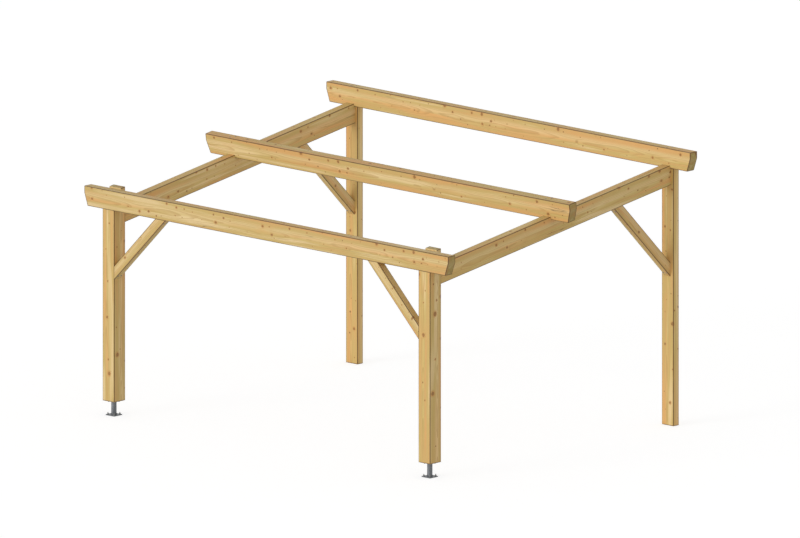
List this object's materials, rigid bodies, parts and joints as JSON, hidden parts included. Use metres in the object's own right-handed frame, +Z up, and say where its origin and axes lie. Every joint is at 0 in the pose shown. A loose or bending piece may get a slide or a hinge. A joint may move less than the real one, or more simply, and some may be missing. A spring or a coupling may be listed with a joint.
{
  "type": "lean-to shelter",
  "caption": "Open timber lean-to frame: notched posts on steel feet, wall posts, shaped purlins over sloping side beams, and knee braces, to stand against a wall.",
  "frame": {"origin": "on the ground at the middle of the footprint, between the four posts", "axes": "+X along the wall, +Y towards the wall, +Z up"},
  "size_m": [5, 3.6, 2.825],
  "materials": {
    "post_timber": "planed softwood",
    "purlin_timber": "planed softwood",
    "beam_timber": "planed softwood",
    "brace_timber": "planed softwood",
    "foot_steel": "dull galvanised"
  },
  "bodies": {
    "root": {"front_post_left": "post_timber", "front_post_right": "post_timber", "wall_post_left": "post_timber", "wall_post_right": "post_timber", "side_beam_left": "beam_timber", "side_beam_right": "beam_timber", "front_brace_left": "brace_timber", "front_brace_right": "brace_timber", "wall_brace_left": "brace_timber", "wall_brace_right": "brace_timber", "foot_base_plate_left": "foot_steel", "foot_base_plate_right": "foot_steel", "foot_stem_left": "foot_steel", "foot_stem_right": "foot_steel", "foot_head_plate_left": "foot_steel", "foot_head_plate_right": "foot_steel", "foot_dowel_left": "foot_steel", "foot_dowel_right": "foot_steel", "front_purlin": "purlin_timber", "middle_purlin": "purlin_timber", "wall_purlin": "purlin_timber"}
  },
  "joints": []
}
